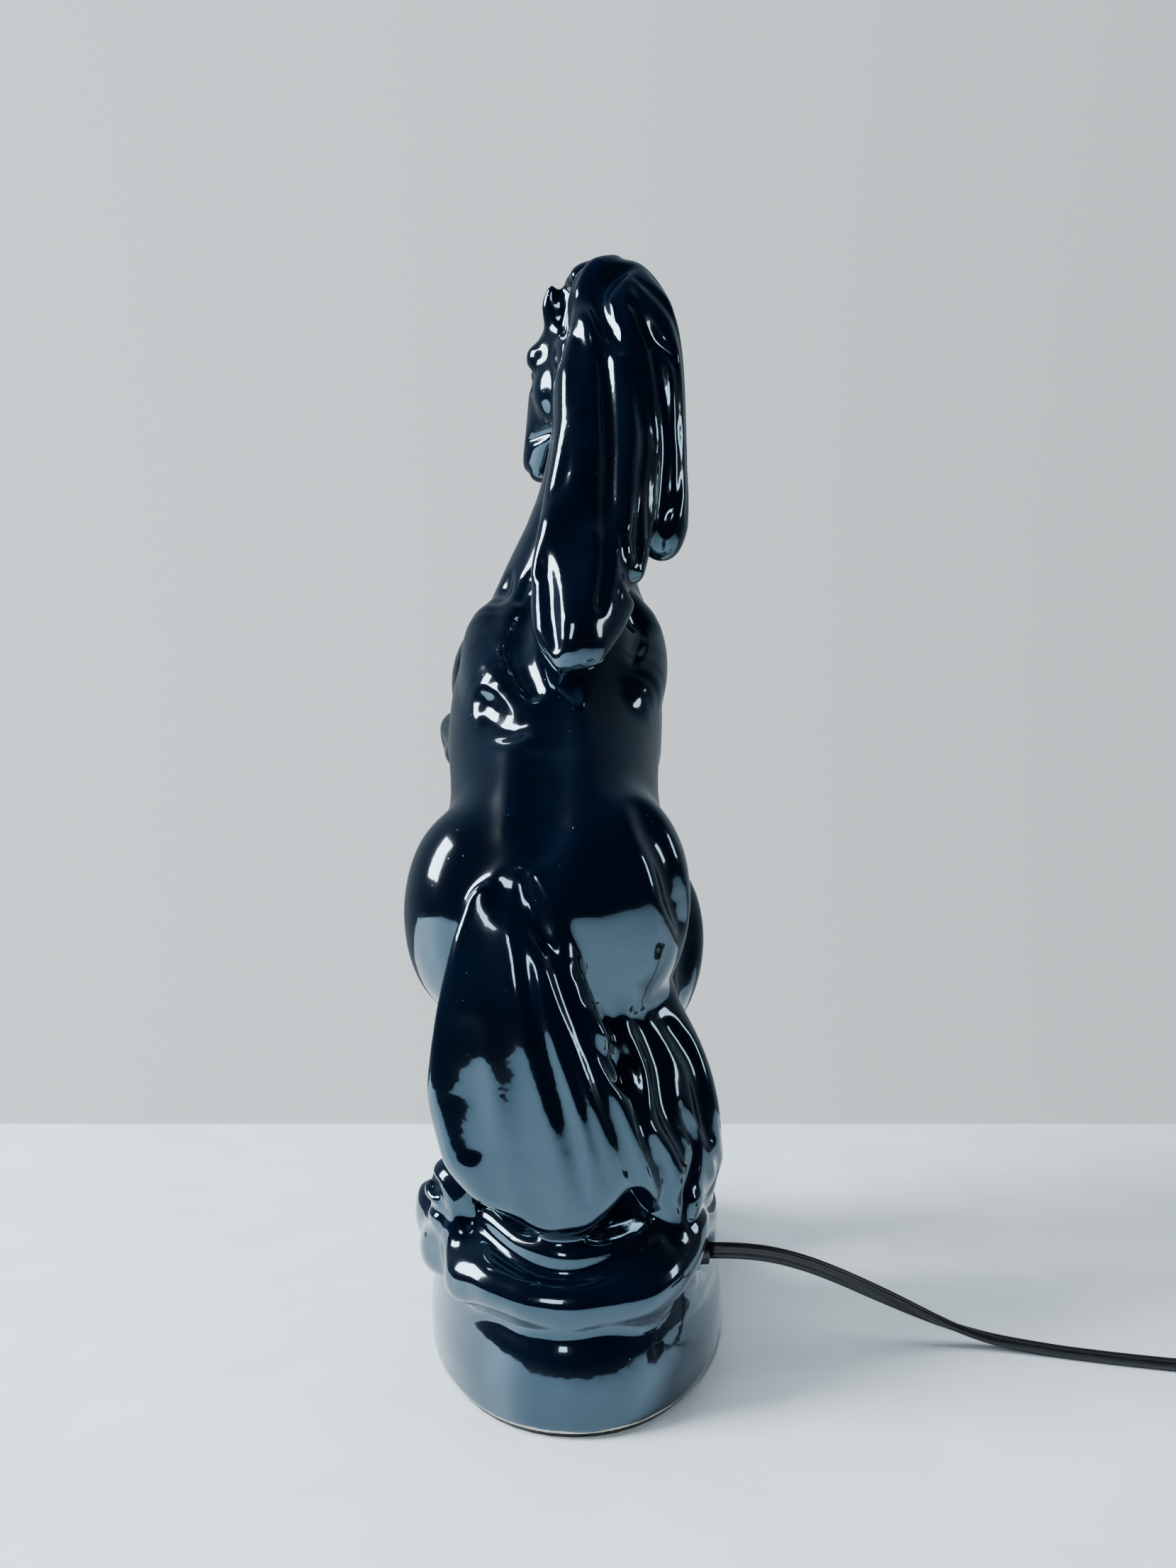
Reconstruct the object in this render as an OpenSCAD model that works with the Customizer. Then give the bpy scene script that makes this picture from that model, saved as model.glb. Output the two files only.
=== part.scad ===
// TV lamp: a glazed ceramic rearing horse on a hollow oval base, with its socket,
// bulb and flat cord.
// Millimetres. +Z is up and +Y is the way the horse faces. The origin is the centre
// of the base, on the surface that the lamp stands on.

/* [Base] */
// Length of the oval base, along Y
base_len = 200; // [190:1:220]
// Width of the oval base, along X
base_w = 104; // [100:1:112]
// Height of the base's flat deck above the table
deck_z = 30; // [29:1:31]
// Thickness of the cast ceramic wall
wall = 5; // [4:0.5:6]
// Thickness of the felt under the foot
felt_t = 1.5; // [1:0.5:2]

/* [Lamp holder] */
// Outer radius of the brass socket shell
shell_r = 17; // [16.8:0.1:17.2]
// Outer radius of the threaded tube that holds the socket
tube_r = 4.8; // [4.6:0.1:4.9]
// Radius of the bulb's glass globe
globe_r = 20; // [17:1:21]

/* [Cord] */
// Width of the flat twin cord
cord_w = 5.2; // [4.8:0.1:5.4]
// Thickness of the flat twin cord
cord_t = 2.7; // [2.4:0.1:3]

/* [Hidden] */

glaze = "#10151b";
brass = "#b8923f";
steel = "#a9adb0";
bakelite = "#2a1d16";
cord_black = "#15181a";

// Socket: its axis stands at holder, and its heights are stacked up from the deck
holder = [8, 40];
washer_t = 1.6;
nut_t = 3.4;
cap_z = deck_z + washer_t + nut_t;
cap_rim_z = cap_z + 14;
core_z = cap_rim_z + 1;
shell_top_z = cap_z + 50;
shell_t = 0.6;
liner_r = shell_r - shell_t - 0.1;
screw_r = 14;
contact_z = core_z + 12;
switch_z = core_z + 6;
switch_turn = 45;
shaft_r = 2;
key_r0 = shell_r + 2;

// Bulb: seated on the centre contact
bulb_z = contact_z + 2.4;
bulb_base_r = 13.1;
bulb_neck_z = bulb_z + 23;
globe_z = bulb_neck_z + 24;
glass_t = 0.8;

// Cord: where it leaves the rocks, its free run to the coil, and the coil
exit_at = [42.6, -50, 34.5];
exit_turn = 4;
cord_route = [
  [42.6, -50, 34.5], [47, -49.7, 34.4], [53, -49.2, 34], [60, -48.3, 33], [68, -47, 31],
  [77, -45.5, 27.8], [87, -44, 23.4], [97, -42.8, 18.6], [107, -42, 13.8],
  [117, -41.8, 9.2], [127, -42.4, 5.4], [137, -44, 3], [148, -46.8, 2], [160, -50.2, 1.5],
  [172, -53.6, 1.5], [184, -56.6, 1.5], [195, -59, 1.6], [208, -60.2, 2]
];
coil_at = [230, -97];
coil_mid_r = 31;
coil_band = 9.2;
coil_h = 16.5;
plug_at = [coil_at[0] + 4, coil_at[1] + 25.6, coil_h + 0.1];

// Where the cord drops from the rocks through the deck
lead_drop = [22, -50];

// ---------- shape functions ----------

function unit(v) = v / norm(v);

// A point on the smooth curve through b and c, with a and d as its neighbours
function between(a, b, c, d, t) =
  0.5 * (2 * b + (c - a) * t + (2 * a - 5 * b + 4 * c - d) * t * t
         + (3 * b - a - 3 * c + d) * t * t * t);

// Stations with "steps" smooth ones from each to the next
function smoothed(s, steps) = [
  for (i = [0 : len(s) - 2]) for (j = [0 : steps - 1])
    between(s[max(i - 1, 0)], s[i], s[i + 1], s[min(i + 2, len(s) - 1)], j / steps),
  s[len(s) - 1]
];

function place(s) = [s[0], s[1], s[2]];

function heading(s, i) =
  unit(place(s[min(i + 1, len(s) - 1)]) - place(s[max(i - 1, 0)]));

// One oval ring of the skin: centre, heading, side direction and the two half widths
function ring(c, t, side, a, b, sides) =
  let (u = unit(side - (side * t) * t), v = cross(t, u))
  [for (k = [0 : sides - 1]) c + u * a * cos(360 * k / sides) + v * b * sin(360 * k / sides)];

// The oval outline of the base, drawn in from its edge by inset
function oval(inset, sides = 56) = [
  for (k = [0 : sides - 1])
    let (c = cos(360 * k / sides), s = sin(360 * k / sides), e = 2 / 2.15)
    [(base_w / 2 - inset) * sign(c) * pow(abs(c), e),
     (base_len / 2 - inset) * sign(s) * pow(abs(s), e)]
];

// ---------- shared modules ----------

// A skin over rings of points, closed with a flat face at each end
module skin(rings) {
  n = len(rings[0]);
  points = [for (r = rings) each r];
  walls = [for (i = [0 : len(rings) - 2]) for (k = [0 : n - 1]) each [
    [i * n + k, (i + 1) * n + k, (i + 1) * n + (k + 1) % n],
    [i * n + k, (i + 1) * n + (k + 1) % n, i * n + (k + 1) % n]
  ]];
  first = [[for (k = [0 : n - 1]) k]];
  last = [[for (k = [n - 1 : -1 : 0]) (len(rings) - 1) * n + k]];
  polyhedron(points = points, faces = concat(first, walls, last), convexity = 6);
}

// A limb through stations [x, y, z, half width along side, half width across it],
// with rounded ends
module limb(stations, side = [1, 0, 0], sides = 16, steps = 3) {
  s = smoothed(stations, steps);
  last = len(s) - 1;
  t0 = heading(s, 0);
  t1 = heading(s, last);
  m0 = min(s[0][3], s[0][4]);
  m1 = min(s[last][3], s[last][4]);
  dome = [75, 50, 25];
  skin(concat(
    [for (d = dome) ring(place(s[0]) - t0 * m0 * sin(d), t0, side,
                         s[0][3] * cos(d), s[0][4] * cos(d), sides)],
    [for (i = [0 : last]) ring(place(s[i]), heading(s, i), side, s[i][3], s[i][4], sides)],
    [for (k = [2 : -1 : 0]) ring(place(s[last]) + t1 * m1 * sin(dome[k]), t1, side,
                                 s[last][3] * cos(dome[k]), s[last][4] * cos(dome[k]), sides)]
  ));
}

// A rounded lump
module lump(at, radii, sides = 16) {
  translate(at) scale(radii) sphere(r = 1, $fn = sides);
}

// One sculpted casting: its lumps and limbs become a single surface
module casting() {
  color(glaze) resize([0, 0, 0]) children();
}

// A ring with a square section, standing on z
module ring_plate(r_out, r_in, z, h, fn = 64) {
  translate([0, 0, z]) difference() {
    cylinder(r = r_out, h = h, $fn = fn);
    translate([0, 0, -1]) cylinder(r = r_in, h = h + 2, $fn = 64);
  }
}

module at_holder() {
  translate([holder[0], holder[1], 0]) children();
}

// ---------- ceramic ----------

// Outline of the base wall, from its foot to its rounded shoulder, as [height, inset]
base_profile = [
  [0, 1.4], [1.5, 0.4], [8, 0], [13.5, 0.3], [16, 1.7], [19, 2], [23.5, 2.6],
  [26.5, 4.2], [28.1, 6.6], [28.5, 10]
];

module base_block() {
  skin([for (p = base_profile)
    [for (q = oval(p[1])) [q[0], q[1], felt_t + p[0] * (deck_z - felt_t) / 28.5]]]);
}

module base_shell() {
  color(glaze) difference() {
    base_block();
    translate([0, 0, -1]) linear_extrude(height = deck_z - wall + 1) polygon(oval(wall + 1.5, 48));
    translate([holder[0], holder[1], 0]) cylinder(r = tube_r + 0.8, h = deck_z + 1, $fn = 64);
    translate([lead_drop[0], lead_drop[1], 0]) cylinder(r = 7, h = deck_z + 1, $fn = 64);
  }
}

module mound_mass() {
  limb([[-3, -42, 24, 46, 44], [-3, -42, 36, 44, 42], [-3, -40, 46, 40, 37],
        [-4, -36, 57, 34, 29], [-5, -33, 66, 25, 19]], sides = 22, steps = 1);
  // near strata, one rolled ledge over another
  limb([[-33, -64, 43, 7, 8], [-27, -78, 38.5, 8, 9], [-13, -86.5, 35.5, 8, 9], [3, -88.5, 34.5, 8, 9],
        [19, -84, 36, 8, 9], [31, -71, 41, 8, 9], [34, -60, 50, 7, 8]],
       side = [0, 0, 1], sides = 12, steps = 2);
  limb([[-24, -67, 51, 5, 8], [-14, -79, 46, 6, 8], [2, -82, 44.5, 6, 8],
        [18, -77, 46.5, 6, 8], [28, -65, 52, 5, 8]], side = [0, 0, 1], sides = 10, steps = 2);
  // lumps on the left
  lump([-38, -60, 56], [10.5, 12, 13], 12);
  lump([-44, -34, 42], [10.5, 15, 15], 12);
  lump([-40, -52, 38], [11, 15, 13], 12);
  lump([-37, -14, 38], [13, 17, 14], 12);
  lump([-33, -74, 37], [8, 11, 10], 12);
  // rocks on the right, under the flank
  limb([[24, -44, 90, 9, 11], [27, -44, 78, 13.5, 14], [29, -43, 65, 16, 17],
        [30.5, -42, 50, 16.5, 18], [31, -42, 38, 16.5, 19], [31, -42, 28, 16, 19]], steps = 2);
  lump([40, -11.5, 35], [11, 15, 11], 14);
  limb([[22, -66, 82, 3, 3], [29, -69, 66, 4.5, 4.5], [36, -63, 52, 4.5, 4.5], [39, -58, 44, 3, 3]],
       sides = 10, steps = 2);
  limb([[-30, -70, 66, 3, 3], [-36, -70, 52, 4, 4], [-37, -70, 38, 4, 4]], sides = 10, steps = 2);
}

module rock_mound() {
  casting() difference() {
    mound_mass();
    translate([-80, -120, -20]) cube([160, 240, 20 + deck_z]);
    // the hollow left by the slip
    limb([[-7, -42, 20, 20, 26], [-7, -42, 30, 17, 21]], sides = 16, steps = 1);
    // the hollow that the cord passes through, and its hole in the rock
    translate([lead_drop[0], lead_drop[1], deck_z - 1]) cylinder(r = 8, h = 11, $fn = 32);
    translate(exit_at) rotate([0, 90, exit_turn]) translate([0, 0, -18])
      cylinder(r = 4.3, h = 40, $fn = 32);
    at_holder() cylinder(r = shell_r + 4, h = 120, $fn = 48);
    left_hind_leg_mass();
    right_hind_leg_mass();
    tail_mass();
  }
}

module front_rocks() {
  casting() difference() {
    union() {
      limb([[-29, 34, 24, 15, 32], [-31, 34, 44, 13.5, 27], [-32, 34, 64, 12, 20],
            [-31, 33, 82, 9.5, 14], [-29, 32, 96, 6, 9]], steps = 3);
      limb([[-26, 60, 26, 15, 18], [-27, 60, 44, 12, 14], [-28, 58, 60, 8, 9]]);
      limb([[2, 74, 24, 26, 15], [0, 73, 38, 22, 12], [-3, 71, 50, 13, 8]], sides = 20, steps = 2);
      lump([28, 65, 30], [12, 13, 12], 14);
      limb([[37, 40, 24, 9, 17], [37.5, 40.5, 44, 9.5, 14], [37.6, 41, 62, 10, 12],
            [37.4, 42, 74, 9, 9.5]]);
      lump([38, 56, 40], [10, 11, 12], 14);
      lump([-38, 12, 36], [10, 14, 13], 14);
    }
    translate([-80, -120, -20]) cube([160, 240, 20 + deck_z]);
    mound_mass();
    at_holder() cylinder(r = shell_r + 1.4, h = 200, $fn = 48);
    at_holder() rotate([0, 0, switch_turn]) translate([0, -9, switch_z - 9]) cube([46, 18, 60]);
  }
}

module torso_mass() {
  limb([[-7, -50, 120, 28, 24], [-7, -47, 134, 41, 35], [-7, -38, 152, 42, 39], [-7, -24, 174, 37.5, 37],
        [-8, -8, 193, 39.5, 36.5], [-7.5, 8, 213, 40.5, 37], [-6, 21, 232, 37.5, 36], [-4, 29, 248, 30, 30],
        [-3, 31, 258, 20, 20]], sides = 26, steps = 2);
  // buttocks and thighs
  lump([-32, -47, 144], [25.5, 28, 37], 18);
  lump([14, -49, 148], [25, 27, 38], 18);
  lump([-32, -20, 134], [23, 28, 40], 18);
  lump([20, -18, 132], [26, 27, 40], 18);
  // shoulders
  lump([-31, 30, 224], [19.5, 22, 28], 16);
  lump([17, 30, 226], [17.5, 22, 28], 16);
  // chest
  lump([-7, 48, 226], [25, 18, 24], 16);
}

module torso() {
  casting() difference() {
    torso_mass();
    // the hollow left by the slip, and its vent under the belly
    limb([[-7, -44, 136, 32, 24], [-7, -36, 152, 38, 31], [-8, -23, 172, 36, 30], [-8, -7, 193, 35.5, 29.5],
          [-7.5, 8, 213, 34, 30], [-6, 21, 232, 30, 29], [-4, 28, 244, 21, 21]], sides = 16, steps = 1);
    for (x = [-31, 13]) lump([x, -47, 146], [18, 20, 30], 12);
    for (x = [-31, 18]) lump([x, -19, 134], [17, 20, 32], 12);
    translate([-8, 8, 160]) rotate([-39, 0, 0]) cylinder(r = 3, h = 34, $fn = 20);
  }
}

module hind_leg(stations) {
  limb(stations, sides = 16, steps = 3);
}

module left_hind_leg_mass() {
  hind_leg([[-32, -16, 118, 17, 21], [-31, -12, 106, 13.5, 16], [-30, -22, 92, 10.5, 12],
            [-29, -37, 79, 8.5, 10.5], [-29, -38, 68, 7.5, 8], [-28.5, -30, 55, 7.5, 7.5],
            [-28, -25, 46, 8.5, 9]]);
}

module right_hind_leg_mass() {
  hind_leg([[20, -14, 118, 17, 21], [19, -9, 104, 13.5, 16], [18, -16, 90, 10.5, 12],
            [17, -30, 77, 8.5, 10.5], [17, -31, 66, 7.5, 8], [17.5, -22, 53, 7.5, 7.5],
            [18, -16, 44, 8.5, 9], [18, -14, 37, 10, 10.5]]);
}

module left_hind_leg() {
  casting() difference() {
    left_hind_leg_mass();
    torso_mass();
  }
}

module right_hind_leg() {
  casting() difference() {
    right_hind_leg_mass();
    torso_mass();
    translate([-80, -120, -20]) cube([160, 240, 20 + deck_z]);
  }
}

module left_foreleg_mass() {
  limb([[-32, 38, 212, 14, 14], [-39, 50, 206, 11, 11.5], [-46, 64, 206, 8.6, 9.2],
         [-51.5, 79, 209, 8.6, 8.4],
        [-53.5, 86, 206, 7.6, 6.6], [-53, 79, 200, 5.6, 5.2], [-52, 69, 198, 5.2, 5],
         [-49, 60, 197, 6.4, 6],
        [-45, 54, 192, 6.2, 6], [-42, 51, 186, 7.6, 7.6], [-40, 50, 180, 8.4, 8.4]]);
}

module right_foreleg_mass() {
  limb([[18, 40, 214, 14, 14], [22, 54, 214, 11, 12], [24, 68, 222, 8.6, 9.6], [24.5, 84, 234, 8.4, 8.6],
        [24, 91, 236, 7.6, 7], [23, 90, 226, 5.8, 5.4], [22, 85, 213, 5.2, 5], [21, 81, 203, 6.4, 6.2],
        [20.5, 75, 195, 6.2, 6.2], [20, 71, 188, 7.8, 7.8], [20, 69, 182, 8.6, 8.6]]);
}

module left_foreleg() {
  casting() difference() {
    left_foreleg_mass();
    torso_mass();
  }
}

module right_foreleg() {
  casting() difference() {
    right_foreleg_mass();
    torso_mass();
  }
}

module neck_and_head_mass() {
  limb([[-4, 28, 234, 22, 22], [-3.5, 27, 250, 29, 28.5], [-2.5, 26, 264, 26, 27], [0, 25, 280, 20.5, 24.5],
        [3, 26, 298, 17.5, 22],
        [5, 29, 320, 15.5, 20], [5, 33, 340, 14, 18], [3, 37, 356, 13, 15]], sides = 20, steps = 2);
  // skull, from the poll to the muzzle
  limb([[3, 38, 371, 10, 11], [-1, 44, 364, 12.5, 15.5], [-6, 52, 353, 13.2, 17.5],
         [-10.5, 60, 342, 10.5, 13.5],
        [-14, 67.5, 331, 8.6, 10.5], [-15.5, 73, 322, 9, 9]],
        side = [0.87, 0.49, 0], sides = 18, steps = 2);
  // brows, jaw plates and ears
  lump([-15.5, 47, 357], [7, 8, 6.5], 12);
  lump([7, 60, 357], [6, 6, 5.5], 12);
  lump([-9, 45, 343], [10, 12, 14], 14);
  lump([2, 51, 342], [9, 12, 13], 14);
  limb([[-8, 40, 366, 5, 4], [-11, 37, 375, 5.5, 3.6], [-9, 34, 385, 3, 2.2]], sides = 10, steps = 2);
  limb([[10, 43, 368, 4.5, 3.6], [14, 41, 377, 5, 3.4], [15, 39, 386, 2.6, 2]], sides = 10, steps = 2);
}

module neck_and_head() {
  casting() difference() {
    neck_and_head_mass();
    torso_mass();
  }
}

module mane_mass() {
  // crest and the broad fall behind the neck, ending in a rounded tip on the withers
  limb([[0, 42, 379, 9, 7], [6, 34, 382, 12.5, 9], [12, 22, 375, 17, 12], [16, 12, 356, 20, 14],
        [16, 6, 334, 19, 13], [14, 0, 310, 18, 12], [11, -6, 288, 18.5, 12], [7, -14, 268, 19.5, 11],
        [4, -22, 252, 18.5, 10], [1.5, -30, 239, 15.5, 9], [0, -36, 229, 11, 7]], sides = 20, steps = 1);
  // heavy lock down the right side, cut off blunt
  limb([[19, 24, 378, 10, 9], [28, 15, 362, 10, 10], [31.5, 9, 342, 9.6, 11], [32.5, 6, 320, 9.2, 11],
        [33, 5, 300, 9.2, 11], [33, 4, 283, 9, 10], [31, 3, 274, 8.4, 8]], steps = 2);
  // forelock over the poll
  limb([[2, 46.5, 375, 6, 5], [6, 37.5, 385, 7, 5.5], [12, 27.5, 384, 8, 6], [20, 17, 372, 6, 6]],
       sides = 12, steps = 2);
  // long lock lying on the fall
  limb([[-2, 12, 352, 5, 5], [2, 0, 330, 6.5, 6], [2.5, -8, 306, 7, 6], [-2, -15, 280, 7, 6],
        [-7.5, -23, 258, 7, 6], [-9.5, -31, 241, 6, 5], [-9, -36, 231, 4.5, 4]], sides = 14, steps = 2);
}

module mane() {
  casting() difference() {
    mane_mass();
    neck_and_head_mass();
    torso_mass();
  }
}

module tail_mass() {
  limb([[-10, -58, 157, 7, 7], [-16, -69, 158.5, 11, 7.5], [-21, -77, 150, 14.5, 8],
         [-22, -80, 137, 16.5, 8],
        [-20, -82, 124, 20, 8.5], [-17.5, -83, 110, 24, 9], [-15, -84, 96, 28, 9], [-12.5, -85, 82, 30, 9],
        [-7, -85, 71, 26, 8], [-4, -84.5, 62, 21.5, 7], [-5, -84, 55, 14, 5]], sides = 20, steps = 1);
  // locks along the right edge and the rolled left edge
  limb([[-10, -76, 150, 4, 4], [-3, -81, 130, 4, 4.5], [4, -84, 110, 4.5, 5], [12, -85, 90, 5, 5],
        [20, -83, 72, 5, 5], [26, -78, 58, 4, 4]], sides = 12, steps = 2);
  limb([[1, -79, 116, 3.5, 3.5], [10, -80, 98, 4.5, 4.5], [20, -78, 80, 4.5, 4.5], [28, -73, 62, 4, 4]],
       sides = 12, steps = 2);
  limb([[-34, -78, 142, 4, 4], [-38.5, -80, 122, 4, 5], [-41, -81, 104, 4, 5], [-41, -82, 90, 4.5, 5],
        [-37, -82, 79, 4, 4]], sides = 12, steps = 2);
}

module tail() {
  casting() difference() {
    tail_mass();
    torso_mass();
    left_hind_leg_mass();
    right_hind_leg_mass();
  }
}

module felt_pad() {
  color("#3a4a3c") linear_extrude(height = felt_t) polygon(oval(3.4, 56));
}

// ---------- lamp holder ----------

module threaded_tube() {
  color(steel) at_holder() ring_plate(tube_r, tube_r - 1.4, deck_z - wall - washer_t - nut_t - 3, 24);
}

module clamp_washer() {
  color(steel) at_holder() ring_plate(12, tube_r + 0.2, deck_z - wall - washer_t, washer_t);
}

module hex_nut(z) {
  at_holder() translate([0, 0, z]) difference() {
    cylinder(r = 8.4, h = nut_t, $fn = 6);
    translate([0, 0, -1]) cylinder(r = tube_r + 0.05, h = nut_t + 2, $fn = 64);
  }
}

module clamp_nut() {
  color(steel) hex_nut(deck_z - wall - washer_t - nut_t);
}

module deck_washer() {
  color("#1c1c1c") at_holder() ring_plate(11, tube_r + 0.2, deck_z, washer_t);
}

module lock_nut() {
  color(brass) hex_nut(deck_z + washer_t);
}

// Bell-shaped cap: a threaded neck that widens to hold the shell
module socket_cap() {
  color(brass) at_holder() difference() {
    rotate_extrude($fn = 96) polygon([
      [tube_r + 0.05, cap_z], [7, cap_z], [7.4, cap_z + 5], [10, cap_z + 8], [14, cap_z + 9.6],
      [16.8, cap_z + 10.6], [shell_r + 0.8, cap_z + 12.4], [shell_r + 0.8, cap_rim_z + 3],
      [shell_r + 0.05, cap_rim_z + 3], [shell_r + 0.05, cap_z + 13], [15.6, cap_z + 11.6],
      [9.4, cap_z + 9.4], [6.4, cap_z + 6], [tube_r + 0.05, cap_z + 5]
    ]);
    rotate([0, 0, 200]) translate([0, 0, cap_z + 2.4]) rotate([0, 90, 0])
      cylinder(r = 1.1, h = 12, $fn = 24);
  }
}

// Set screw that stops the cap from turning on the tube
module cap_screw() {
  color(steel) at_holder() rotate([0, 0, 200]) translate([tube_r, 0, cap_z + 2.4]) rotate([0, 90, 0])
    difference() {
      cylinder(r = 1.05, h = 3.4, $fn = 24);
      translate([-2, -0.25, 2.8]) cube([4, 0.5, 2]);
    }
}

module socket_shell() {
  color(brass) at_holder() difference() {
    rotate_extrude($fn = 96) polygon([
      [shell_r - shell_t, cap_rim_z - 0.6], [shell_r, cap_rim_z - 0.6], [shell_r, shell_top_z - 1],
      [shell_r - 0.3, shell_top_z], [shell_r - shell_t, shell_top_z]
    ]);
    rotate([0, 0, switch_turn]) translate([0, 0, switch_z]) rotate([0, 90, 0])
      cylinder(r = shaft_r + 1, h = 30, $fn = 32);
  }
}

module socket_liner() {
  color("#6e5a3c") at_holder() difference() {
    rotate_extrude($fn = 96) polygon([
      [liner_r - 0.7, core_z], [liner_r, core_z], [liner_r, shell_top_z - 1.5],
      [liner_r - 0.7, shell_top_z - 1.5]
    ]);
    rotate([0, 0, switch_turn]) translate([0, 0, switch_z]) rotate([0, 90, 0])
      cylinder(r = shaft_r + 1, h = 30, $fn = 32);
  }
}

module socket_core() {
  color(bakelite) at_holder() difference() {
    union() {
      translate([0, 0, core_z - 2.8]) cylinder(r = liner_r - 0.1, h = 2.8, $fn = 64);
      translate([0, 0, core_z - 0.1]) cylinder(r = screw_r + 0.6, h = 11.1, $fn = 64);
    }
    // flats for the two terminals, bore for the switch shaft and way for the leads
    for (turn = [-1, 1]) rotate([0, 0, switch_turn + 90 * turn]) translate([11.5, -5, core_z - 4])
      cube([6, 10, 13]);
    rotate([0, 0, switch_turn]) translate([4, 0, switch_z]) rotate([0, 90, 0])
      cylinder(r = shaft_r + 0.05, h = 30, $fn = 64);
  }
}

module screw_shell() {
  color(brass) at_holder() difference() {
    translate([0, 0, core_z + 11]) cylinder(r = screw_r, h = shell_top_z - core_z - 14, $fn = 64);
    translate([0, 0, core_z + 11.6]) cylinder(r = screw_r - 0.4, h = 60, $fn = 64);
    translate([0, 0, core_z + 10]) cylinder(r = 5.5, h = 5, $fn = 48);
  }
}

module centre_contact() {
  color(brass) at_holder() translate([0, 0, core_z + 11]) {
    cylinder(r = 4, h = 1, $fn = 48);
    translate([0, 0, 0.9]) cylinder(r = 2.6, h = contact_z + 2.4 - core_z - 11.9, $fn = 48);
  }
}

module terminal_screws() {
  color(steel) at_holder() for (turn = [-1, 1]) rotate([0, 0, switch_turn + 90 * turn])
    translate([11.5, 0, core_z + 5]) rotate([0, 90, 0]) difference() {
      cylinder(r = 3, h = 1.8, $fn = 32);
      translate([-4, -0.4, 1]) cube([8, 0.8, 2]);
    }
}

module along_switch(r0) {
  at_holder() rotate([0, 0, switch_turn]) translate([r0, 0, switch_z]) rotate([0, 90, 0]) children();
}

module switch_shaft() {
  color(brass) along_switch(5) cylinder(r = shaft_r, h = key_r0 + 6 - 5, $fn = 48);
}

// Turn key: a round boss with a flat paddle for finger and thumb
module switch_key() {
  color(bakelite) difference() {
    along_switch(key_r0) {
      cylinder(r = 4.2, h = 5, $fn = 48);
      translate([-2, -6.5, 3]) cube([4, 13, 8]);
    }
    along_switch(key_r0 - 1) cylinder(r = shaft_r, h = 7, $fn = 48);
  }
}

// ---------- bulb ----------

module bulb_tip() {
  color("#23201e") at_holder() rotate_extrude($fn = 64) polygon([
    [0, bulb_z], [3.2, bulb_z], [4.2, bulb_z + 0.9], [9.4, bulb_z + 2.6], [10.4, bulb_z + 3.4],
    [0, bulb_z + 3.4]
  ]);
}

module bulb_base() {
  color("#c9a35a") at_holder() rotate_extrude($fn = 96) polygon([
    [10.4, bulb_z + 3.4], [bulb_base_r, bulb_z + 5.4], [bulb_base_r, bulb_neck_z - 1],
    [bulb_base_r + 0.5, bulb_neck_z], [bulb_base_r - 0.3, bulb_neck_z],
    [bulb_base_r - 0.7, bulb_z + 5.8], [9.8, bulb_z + 4], [0, bulb_z + 4], [0, bulb_z + 3.4]
  ]);
}

// Half of the globe's outline, from its neck up to its top
function globe_wall(r, neck) =
  let (low = -acos(neck / r))
  [for (k = [0 : 16]) let (a = low + (90 - low) * k / 16)
    k == 16 ? [0, globe_z + r] : [r * cos(a), globe_z + r * sin(a)]];

module bulb_glass() {
  neck_r = bulb_base_r - 0.9;
  inner = globe_wall(globe_r - glass_t, neck_r - glass_t);
  color([0.95, 0.93, 0.86, 0.6]) at_holder() rotate_extrude($fn = 72) polygon(concat(
    [[neck_r, bulb_neck_z - 6]],
    globe_wall(globe_r, neck_r),
    [for (k = [16 : -1 : 0]) inner[k]],
    [[neck_r - glass_t, bulb_neck_z - 6]]
  ));
}

module bulb_stem() {
  color([0.85, 0.9, 0.9, 0.5]) at_holder() {
    translate([0, 0, bulb_z + 4]) cylinder(r = 8, h = 3, $fn = 48);
    translate([0, 0, bulb_z + 6.9]) cylinder(r = 2.2, h = globe_z - bulb_z - 14, $fn = 32);
  }
}

module bulb_filament() {
  rise = 9;
  color(steel) at_holder() {
    for (side = [-1, 1]) translate([side * 7, 0, globe_z - 7.2]) cylinder(r = 0.3, h = rise, $fn = 16);
    for (side = [-1, 1]) translate([side * 7, 0, globe_z - 7.2]) rotate([0, side * -90, 0])
      cylinder(r = 0.3, h = 4.8, $fn = 16);
    translate([0, 0, globe_z + rise - 7.5]) rotate([0, 90, 0])
      cylinder(r = 0.45, h = 15, center = true, $fn = 16);
  }
}

// ---------- cord ----------

// A flat twin cord along points, as one tube with two lobes
module flat_cord(points, side = [0, 0, 1]) {
  n = 8;
  last = len(points) - 1;
  skin([for (i = [0 : last])
    let (t = unit(points[min(i + 1, last)] - points[max(i - 1, 0)]),
         flat = i < 7 ? side : unit(side * (13 - min(i, 13)) / 6 + [0, 1, 0] * (min(i, 13) - 7) / 6))
    ring(points[i], t, flat, cord_w / 2, cord_t / 2, n)]);
}

module cord_grommet() {
  color("#1a1a1a") translate([exit_at[0] - 7, exit_at[1] - 7 * sin(exit_turn), exit_at[2]])
    rotate([0, 90, exit_turn]) difference() {
      cylinder(r = 4.2, h = 7, $fn = 48);
      translate([-cord_w / 2 - 0.1, -cord_t / 2 - 0.1, -1]) cube([cord_w + 0.2, cord_t + 0.2, 20]);
    }
}

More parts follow.
